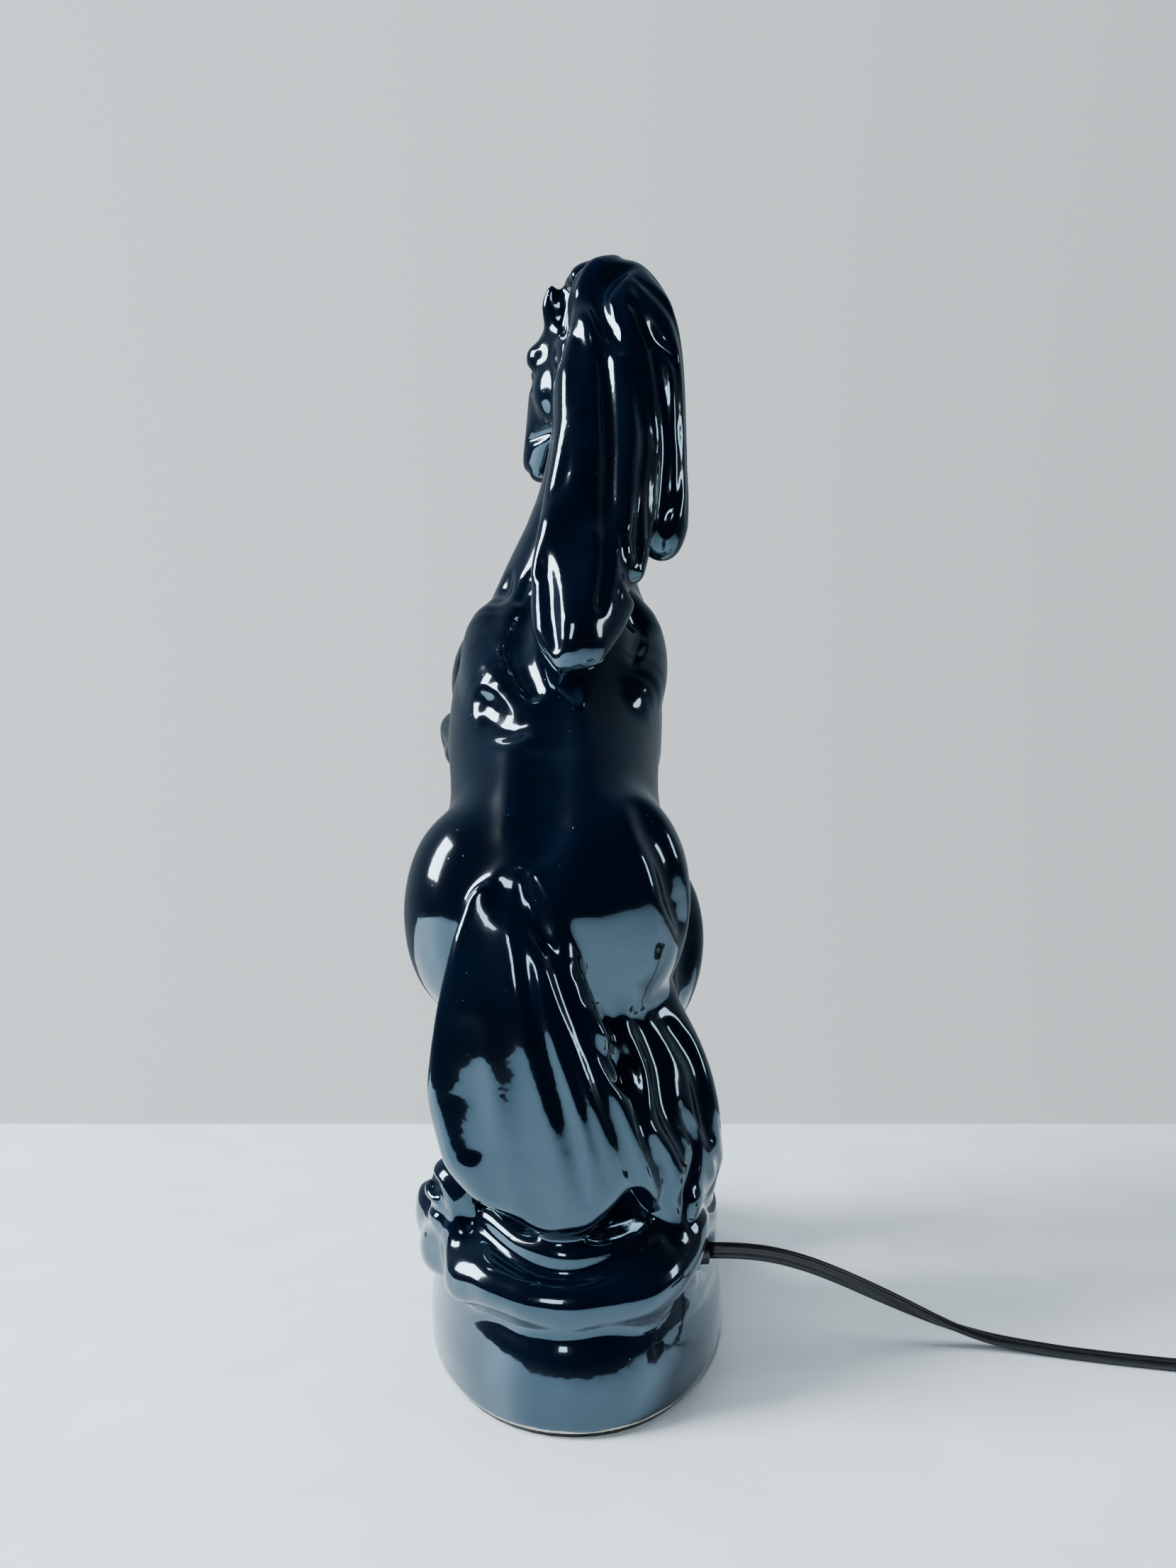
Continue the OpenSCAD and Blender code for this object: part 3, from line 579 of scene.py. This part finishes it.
# the joined surface, and for each cell its nearest and second nearest casting
BLEND = {
    "base_shell": 5.0, "rock_mound": 6.0, "front_rocks": 6.0, "torso": 9.0, "left_hind_leg": 8.0,
    "right_hind_leg": 8.0, "left_foreleg": 9.0, "right_foreleg": 9.0, "neck_and_head": 10.0,
    "mane": 3.0, "tail": 3.5,
}
body = np.full(SHAPE, BAND, np.float32)
nearest = np.full(SHAPE, BAND, np.float32)
second = np.full(SHAPE, BAND, np.float32)
for name in CASTINGS:
    at = windows[name].at
    body[at] = join(body[at], fields[name], BLEND[name])
    worse = np.maximum(nearest[at], fields[name])
    second[at] = np.minimum(second[at], worse)
    nearest[at] = np.minimum(nearest[at], fields[name])


# ---------- carving ----------

# the side a stroke is made from: its axis, and which way that side faces
FACES = {"back": (1, -1), "front": (1, 1), "left": (0, -1), "right": (0, 1), "top": (2, 1)}


def touch(flat, face):
    """The first point of the surface, in millimetres, on the side's straight line through flat."""
    axis, way = FACES[face]
    others = [i for i in range(3) if i != axis]
    index = [0, 0, 0]
    for i, value in zip(others, flat):
        index[i] = int(np.clip(round(value / VOXEL) - ORIGIN[i], 0, SHAPE[i] - 1))
    index[axis] = slice(None)
    line = body[tuple(index)]
    order = np.arange(len(line))[::-1] if way > 0 else np.arange(len(line))
    inside = np.flatnonzero(line[order] < 0)
    if not len(inside):
        return None
    k = order[inside[0]]
    before = order[max(inside[0] - 1, 0)]
    share = line[before] / max(line[before] - line[k], 1e-6)
    hit = (ORIGIN[axis] + before + (k - before) * share) * VOXEL
    point = np.zeros(3)
    point[others] = flat
    point[axis] = hit
    return point


def laid(route, face, radius, lift, step=3.0):
    """Ball centres along a smooth route on the surface, lifted off it by lift."""
    axis, way = FACES[face]
    balls = []
    flat = smooth_route(route, step)
    for k, point in enumerate(flat):
        hit = touch(point[:2], face)
        if hit is None:
            continue
        end = min(k, len(flat) - 1 - k) / max(1, len(flat) * 0.18)
        size = radius * (0.45 + 0.55 * min(1.0, end))
        hit[axis] += way * lift * size / radius
        balls.append([*hit, size])
    depths = np.array([b[axis] for b in balls])
    if len(depths) > 4:
        soft = np.convolve(np.pad(depths, 2, mode="edge"), [0.1, 0.2, 0.4, 0.2, 0.1], mode="valid")
        for ball, depth in zip(balls, soft):
            ball[axis] = depth
    return balls


def groove(route, face, radius=2.2, depth=1.2, blend=1.6):
    """Presses a round tool along a route of (across, up) points on one side."""
    balls = laid(route, face, radius, radius - depth)
    if len(balls) < 2:
        return
    window = box_of(balls, radius + blend + 2)
    tool = chain_field(window, balls)
    body[window.at] = -join(-body[window.at], tool, blend)


def ridge(route, face, radius=3.0, rise=1.2, blend=3.0):
    """Lays a round coil of clay along a route of (across, up) points on one side."""
    balls = laid(route, face, radius, rise - radius)
    if len(balls) < 2:
        return
    window = box_of(balls, radius + blend + 2)
    tool = chain_field(window, balls)
    body[window.at] = join(body[window.at], tool, blend)


def strands(left, right, count, face, radius=1.6, depth=0.7):
    """Grooves that share out the band between two routes with as many points as each other."""
    left = np.asarray(left, float)
    right = np.asarray(right, float)
    for k in range(1, count):
        share = k / count
        groove(left + (right - left) * share, face, radius, depth, 1.0)


def press(stations, blend=2.0, side=(1, 0, 0)):
    """Cuts a limb-shaped hollow, blend wide at its lip."""
    stations = smooth_route(stations, 3)
    window = box_of(stations, stations[:, 3:].max() + blend + 3)
    tool = chain_field(window, stations, side)
    body[window.at] = -join(-body[window.at], tool, blend)


def add(stations, blend=3.0, side=(1, 0, 0)):
    """Adds a limb-shaped mass with a fillet."""
    stations = smooth_route(stations, 3)
    window = box_of(stations, stations[:, 3:].max() + blend + 3)
    tool = chain_field(window, stations, side)
    body[window.at] = join(body[window.at], tool, blend)


# mane, seen from behind: (x, z) routes between its locks, then the strands in each lock
lock_edges = [
    [(-3, 372), (0, 350), (-2, 329), (-4, 308), (-6, 292), (-12, 276), (-17, 264), (-21, 252)],
    [(5, 378), (8, 352), (11, 328), (12, 308), (12, 292), (11, 278), (11, 262), (8, 244)],
    [(13, 376), (17, 352), (21, 326), (24, 308), (22, 292), (22, 275), (22, 262), (20, 252)],
    [(22, 370), (27, 352), (31, 330), (33, 308), (32, 292), (31, 280), (30, 272), (30, 266)],
]
# the broad swell down the fall, and the leaf that it ends in
ridge([(4, 352), (3, 331), (3, 315), (2, 301), (0, 285), (-2, 271), (-4, 255), (-8, 238)],
      "back", 12.0, 2.0, 5.0)
ridge([(12, 274), (8, 262), (4, 248), (0, 236), (-3, 226)], "back", 9.0, 3.0, 6.0)
for route in lock_edges:
    groove(route, "back", 3.0, 2.0, 2.5)
for left, right in zip(lock_edges[1:], lock_edges[2:]):
    strands(left, right, 2, "back", 2.2, 0.8)
ridge([(1, 352), (-1, 331), (-1, 315), (-3, 301), (-6, 285), (-9, 271), (-13, 257)], "back", 5.0, 1.6, 3.0)
ridge([(16, 350), (17, 328), (18, 308), (17, 292), (17, 275)], "back", 4.5, 1.2, 3.0)
# the crest's S-shaped lock
ridge([(14, 385), (6, 377), (0, 365), (4, 352), (9, 342)], "back", 4.5, 1.6)
groove([(21, 381), (13, 374), (8, 364), (11, 352), (16, 342)], "back", 3.2, 2.4, 2.4)
groove([(4, 387), (-3, 378), (-7, 366), (-4, 352)], "back", 2.6, 1.8)
groove([(-12, 266), (-10, 252), (-9, 240), (-7, 230)], "back", 2.6, 1.6, 3.0)
# right side of the mane: (y, z)
for shift in (0, 1, 2, 3):
    groove([(22 - 6 * shift, 380), (16 - 5 * shift, 362), (11 - 4 * shift, 340), (9 - 4 * shift, 318),
            (8 - 4 * shift, 298), (7 - 4 * shift, 282)], "right", 2.0, 1.2)
for at in (30, 24, 18, 12):
    groove([(at + 6, 384), (at, 376), (at - 5, 362), (at - 8, 348), (at - 10, 330)], "left", 2.0, 1.2)
groove([(2, 322), (-4, 306), (-9, 290), (-14, 276), (-20, 262), (-26, 250)], "left", 2.0, 1.2)
groove([(10, 330), (4, 312), (-1, 296), (-6, 280), (-12, 266)], "left", 1.8, 1.0)
# forelock, from the front: (x, z)
for x in (-2, 3, 8, 13):
    groove([(x + 3, 390), (x + 1, 382), (x - 1, 374), (x - 3, 366)], "front", 1.6, 0.9)

# tail, seen from behind: locks fan out from the dock
tail_edges = [
    [(-30, 152), (-35, 138), (-38, 122), (-38, 106), (-36, 92), (-32, 80)],
    [(-25, 154), (-28, 138), (-30, 122), (-30, 104), (-28, 86), (-22, 66)],
    [(-20, 156), (-21, 138), (-21, 122), (-19, 104), (-15, 84), (-10, 60)],
    [(-16, 157), (-15, 140), (-12, 122), (-7, 104), (-1, 84), (3, 64)],
    [(-12, 157), (-8, 142), (-2, 124), (5, 107), (12, 88), (18, 70)],
]
for route in tail_edges[:3]:
    groove(route, "back", 7.0, 0.6, 6.0)
for route in tail_edges[3:]:
    groove(route, "back", 3.0, 1.8, 2.5)
strands(tail_edges[3], tail_edges[4], 2, "back", 2.4, 0.8)
ridge([(-12, 157), (-6, 141), (1, 125), (8, 108), (19, 93), (25, 84)], "back", 3.2, 1.2)
groove([(2, 120), (10, 104), (18, 90), (27, 76)], "back", 2.0, 1.2)
groove([(8, 118), (16, 102), (24, 86), (31, 70)], "back", 1.8, 1.0)

# locks that hang between the tail and the right hind leg
for lock in (
    [[13, -55, 114, 7], [17, -59, 99, 10], [21, -62, 85, 11.5], [26, -64, 70, 11], [29, -65, 56, 8]],
    [[25, -45, 112, 8], [30, -48, 97, 11], [34, -50, 82, 11.5], [37, -52, 66, 9.5]],
):
    add(lock, 9.0)
groove([(20, 112), (26, 100), (29, 86), (35, 74), (38, 62)], "back", 3.5, 2.4, 4.0)
groove([(12, 110), (17, 98), (21, 84), (27, 70), (30, 58)], "back", 2.8, 1.6, 3.0)
groove([(31, 108), (38, 98), (41, 86), (43, 74)], "back", 3.0, 1.6, 4.0)

# head: eyes in their sockets under the brow, nostrils, mouth, jaw and ears
press([[-18, 52, 352, 4.6], [-19, 55, 351, 3.6]], 2.5)
add([[-15.2, 52.5, 352.2, 4.3], [-15.2, 53.4, 352.0, 4.2]], 0.8)
groove([(46, 357), (51, 358.5), (57, 356), (60, 352)], "left", 1.4, 0.8)
groove([(47, 348), (52, 346.5), (57, 348), (60, 351)], "left", 1.2, 0.6)
press([[9, 63, 352, 4.4], [10, 65, 351, 3.6]], 2.5)
add([[6.4, 62.8, 352.2, 4.2], [6.4, 63.4, 352.0, 4.1]], 0.8)
groove([(56, 357), (61, 358.5), (66, 356), (69, 351)], "right", 1.4, 0.8)
press([[-22, 76, 325, 2.2], [-19, 76, 326, 2.0]], 1.8)
press([[-9, 82, 325, 2.2], [-12, 80, 326, 2.0]], 1.8)
groove([(68, 318), (74, 317), (80, 317)], "left", 1.5, 1.1)
groove([(74, 318), (80, 317), (84, 317)], "right", 1.5, 1.1)
groove([(44, 336), (50, 331), (57, 330), (64, 329)], "left", 2.4, 1.2)
groove([(52, 336), (58, 331), (64, 330), (70, 329)], "right", 2.4, 1.2)

# neck, chest and shoulders: long muscles
groove([(34, 320), (36, 300), (38, 282), (40, 262), (44, 246)], "left", 5.0, 1.3, 5.0)
groove([(36, 320), (38, 300), (40, 282), (42, 262), (46, 246)], "right", 5.0, 1.3, 5.0)
groove([(-7, 246), (-7, 232), (-7, 216), (-7, 204)], "front", 4.5, 1.6, 5.0)
groove([(-27, 262), (-30, 250), (-30, 238), (-24, 228)], "back", 4.0, 1.0, 4.0)
groove([(18, 262), (22, 250), (24, 238), (20, 226)], "back", 4.0, 1.0, 4.0)
groove([(14, 240), (12, 222), (16, 206), (24, 198)], "left", 4.0, 1.4, 5.0)
groove([(14, 240), (12, 222), (16, 206), (24, 198)], "right", 4.0, 1.4, 5.0)
# flank, stifle and buttock
groove([(-10, 184), (-18, 170), (-28, 156), (-35, 140), (-36, 124)], "left", 9.0, 1.5, 9.0)
groove([(-10, 184), (-18, 170), (-28, 156), (-35, 140), (-36, 124)], "right", 9.0, 1.5, 9.0)
groove([(22, 178), (29, 166), (33, 154), (35, 142)], "back", 5.0, 0.7, 6.0)
groove([(-8, 212), (-9, 196), (-9, 180), (-10, 168)], "back", 8.0, 0.7, 8.0)
# shoulder blades under the mane's tip, and the folds of the withers
ridge([(-29, 248), (-31, 236), (-29, 224), (-23, 213)], "back", 9.0, 1.6, 8.0)
groove([(-17, 254), (-20, 240), (-20, 228), (-14, 216)], "back", 4.0, 2.2, 4.0)
groove([(-34, 214), (-26, 206), (-17, 206)], "back", 5.0, 0.9, 5.0)
ridge([(20, 250), (24, 238), (24, 226), (20, 214)], "back", 8.0, 1.0, 8.0)

# hooves: the coronet above each
groove([(48, 186), (53, 188), (58, 190)], "left", 1.5, 1.0)
groove([(66, 188), (71, 190), (76, 192)], "right", 1.5, 1.0)
groove([(-48, 188), (-42, 185), (-36, 187)], "front", 1.5, 1.0)
groove([(14, 190), (20, 188), (27, 190)], "front", 1.5, 1.0)
for x in (-28.5, 18):
    groove([(x - 8, 53), (x, 51), (x + 8, 53)], "front", 1.5, 1.0)
# hocks
groove([(-48, 84), (-44, 76), (-40, 68)], "left", 2.0, 0.9)
groove([(-42, 84), (-38, 76), (-34, 68)], "right", 2.0, 0.9)

# strata at the rear, seen from behind, and clefts in the rocks
groove([(-34, 54), (-20, 47), (-5, 44), (10, 46), (24, 52)], "back", 2.6, 1.8, 2.5)
groove([(-42, 70), (-44, 62), (-41, 54), (-42, 49)], "back", 2.2, 1.5)
groove([(33, 86), (38, 72), (34, 60), (36, 50)], "back", 2.4, 1.6)
groove([(24, 78), (28, 66), (26, 56), (29, 48)], "back", 2.0, 1.3)
for face in ("left", "right"):
    groove([(-72, 52), (-62, 54), (-50, 50), (-34, 53), (-20, 50)], face, 2.2, 1.3)
    groove([(-60, 68), (-53, 60), (-56, 52)], face, 2.2, 1.3)
    groove([(-30, 66), (-26, 58), (-30, 51)], face, 2.2, 1.3)
groove([(14, 40), (24, 46), (36, 42), (48, 48), (60, 40)], "left", 2.2, 1.5)
groove([(26, 84), (34, 70), (28, 56), (34, 42)], "left", 2.4, 1.5)
groove([(-22, 42), (-8, 46), (6, 40), (20, 44)], "front", 2.2, 1.5)

# the glaze rounds every edge and fills every cut a little
body = blurred(body, GLAZE_ROUND)


# ---------- glazed pieces ----------


def sample(values, points, window):
    """Trilinear samples of a window's field at points in millimetres."""
    place = points / VOXEL - (ORIGIN + window.start)
    base = np.clip(np.floor(place).astype(int), 0, np.array(values.shape) - 2)
    part = np.clip(place - base, 0, 1)
    total = np.zeros(len(points))
    for corner in range(8):
        bits = np.array([corner & 1, corner >> 1 & 1, corner >> 2 & 1])
        weight = np.prod(np.where(bits, part, 1 - part), axis=1)
        i, j, k = (base + bits).T
        total += weight * values[i, j, k]
    return total


def glazed_piece(name):
    """A casting's own closed piece of the joined surface, dipping under its neighbours."""
    window = windows[name]
    whole = body[window.at]
    own = fields[name]
    rest = np.where(own <= nearest[window.at] + 1e-4, second[window.at], nearest[window.at])
    piece_field = whole + SINK * np.clip(own - rest, 0, None) ** 2
    edge = np.ones(window.shape, bool)
    edge[1:-1, 1:-1, 1:-1] = False
    piece_field[edge] = np.maximum(piece_field[edge], 1.0)
    grid = vdb.FloatGrid(BAND * 2)
    grid.copyFromArray(piece_field.astype(np.float32), ijk=tuple(int(v) for v in ORIGIN + window.start))
    grid.transform = vdb.createLinearTransform(voxelSize=VOXEL)
    points, quads = grid.convertToQuads(isovalue=0.0)
    points = np.asarray(points, float)
    made = add_mesh(f"glazed_{name}", points * MM, quads)
    slopes = np.gradient(whole)
    normals = np.stack([sample(slope, points, window) for slope in slopes], 1)
    normals /= np.maximum(np.linalg.norm(normals, axis=1), 1e-6)[:, None]
    made.data.normals_split_custom_set_from_vertices(normals.tolist())
    finish_piece(made, GLAZE, "black_glaze", name)


for name in CASTINGS:
    glazed_piece(name)

# ---------- CAD pieces that stay visible ----------

for names, material, slot in (
    (("felt_pad",), FELT, "felt"),
    (("threaded_tube", "clamp_washer", "clamp_nut", "cap_screw", "terminal_screws"), STEEL, "zinc_steel"),
    (("deck_washer",), FIBRE, "fibre_washer"),
    (("lock_nut", "socket_cap", "socket_shell", "screw_shell", "centre_contact", "switch_shaft",
      "plug_blades"), BRASS, "socket_brass"),
    (("socket_liner",), LINER, "liner_card"),
    (("socket_core", "switch_key", "plug_body"), BAKELITE, "black_bakelite"),
    (("bulb_tip",), INSULATOR, "bulb_insulator"),
    (("bulb_base",), CAP, "bulb_cap"),
    (("bulb_glass",), FROSTED, "bulb_glass"),
    (("bulb_stem",), CLEAR, "stem_glass"),
    (("bulb_filament",), TUNGSTEN, "tungsten"),
    (("cord_grommet", "inner_lead", "coil_tie"), CORD, "cord_black"),
):
    for name in names:
        dress(name, material)

# ---------- floor and light ----------

FLOOR_X = 1.4
FLOOR_FRONT = -1.1
FLOOR_BACK = 0.211
floor_corners = [
    (-FLOOR_X, FLOOR_FRONT, 0), (FLOOR_X, FLOOR_FRONT, 0),
    (FLOOR_X, FLOOR_BACK, 0), (-FLOOR_X, FLOOR_BACK, 0),
]
floor = add_mesh("floor", floor_corners, [(0, 1, 2, 3)])
FLOOR = simple("pale_floor", (0.70, 0.77, 0.82), (0.74, 0.81, 0.86), (0.45, 0.6), 0.0, 30, 0.0001)
floor.data.materials.append(FLOOR)


def softbox(name, at, aim, size, power, colour):
    """A rectangular area light, pointed from at towards aim."""
    light = bpy.data.lights.new(name, "AREA")
    light.shape = "RECTANGLE"
    light.size, light.size_y = size
    light.energy = power
    light.color = colour
    lamp = bpy.data.objects.new(name, light)
    bpy.context.scene.collection.objects.link(lamp)
    lamp.location = at
    lamp.rotation_euler = (Vector(aim) - Vector(at)).to_track_quat("-Z", "Y").to_euler()
    return lamp


softbox("window_left", (-1.3, -0.3, 1.0), (0, 0, 0.2), (0.6, 0.9), 75, (0.86, 0.94, 1.0))
softbox("window_behind", (-0.35, -1.5, 0.9), (0, 0, 0.15), (0.25, 0.4), 5, (0.80, 0.92, 1.0))
softbox("window_right", (1.2, -0.35, 0.6), (0, 0, 0.18), (0.22, 0.5), 4, (0.86, 0.94, 1.0))
ceiling = softbox("ceiling", (-0.2, 0.1, 1.2), (0, 0.05, 0), (0.8, 0.8), 17, (0.88, 0.95, 1.0))
# a bounce off the whole ceiling, too diffuse for the glaze to mirror as a panel
ceiling.visible_glossy = False

world = bpy.data.worlds.new("room")
bpy.context.scene.world = world
world.use_nodes = True
sky = world.node_tree
sky.nodes.clear()
direction = sky.nodes.new("ShaderNodeTexCoord")
parts = sky.nodes.new("ShaderNodeSeparateXYZ")
room = sky.nodes.new("ShaderNodeBackground")
result = sky.nodes.new("ShaderNodeOutputWorld")
sky.links.new(direction.outputs["Generated"], parts.inputs["Vector"])
spread = node(sky, "ShaderNodeMapRange")
spread.inputs["From Min"].default_value = -1
spread.inputs["From Max"].default_value = 1
sky.links.new(parts.outputs["Y"], spread.inputs["Value"])
# the room that the glaze mirrors: dark ahead of the lamp's back, dim beside it and behind it
mirrored = ramp(sky, spread.outputs["Result"], [
    (0.0, (0.006, 0.010, 0.014)), (0.42, (0.012, 0.020, 0.028)), (0.62, (0.10, 0.13, 0.155)),
    (0.85, (0.22, 0.26, 0.29)),
])
# the pale wall, with painted shade: a little darker to the right
side = node(sky, "ShaderNodeMapRange")
side.inputs["From Min"].default_value = -0.5
side.inputs["From Max"].default_value = 0.5
sky.links.new(parts.outputs["X"], side.inputs["Value"])
wall = ramp(sky, side.outputs["Result"], [(0.0, (1.10, 1.22, 1.28)), (1.0, (0.72, 0.81, 0.84))])
seen = sky.nodes.new("ShaderNodeLightPath")
swap = node(sky, "ShaderNodeMix", data_type="RGBA")
sky.links.new(seen.outputs["Is Camera Ray"], swap.inputs["Factor"])
sky.links.new(mirrored.outputs["Color"], swap.inputs["A"])
sky.links.new(wall.outputs["Color"], swap.inputs["B"])
sky.links.new(swap.outputs["Result"], room.inputs["Color"])
room.inputs["Strength"].default_value = 1.0
sky.links.new(room.outputs["Background"], result.inputs["Surface"])
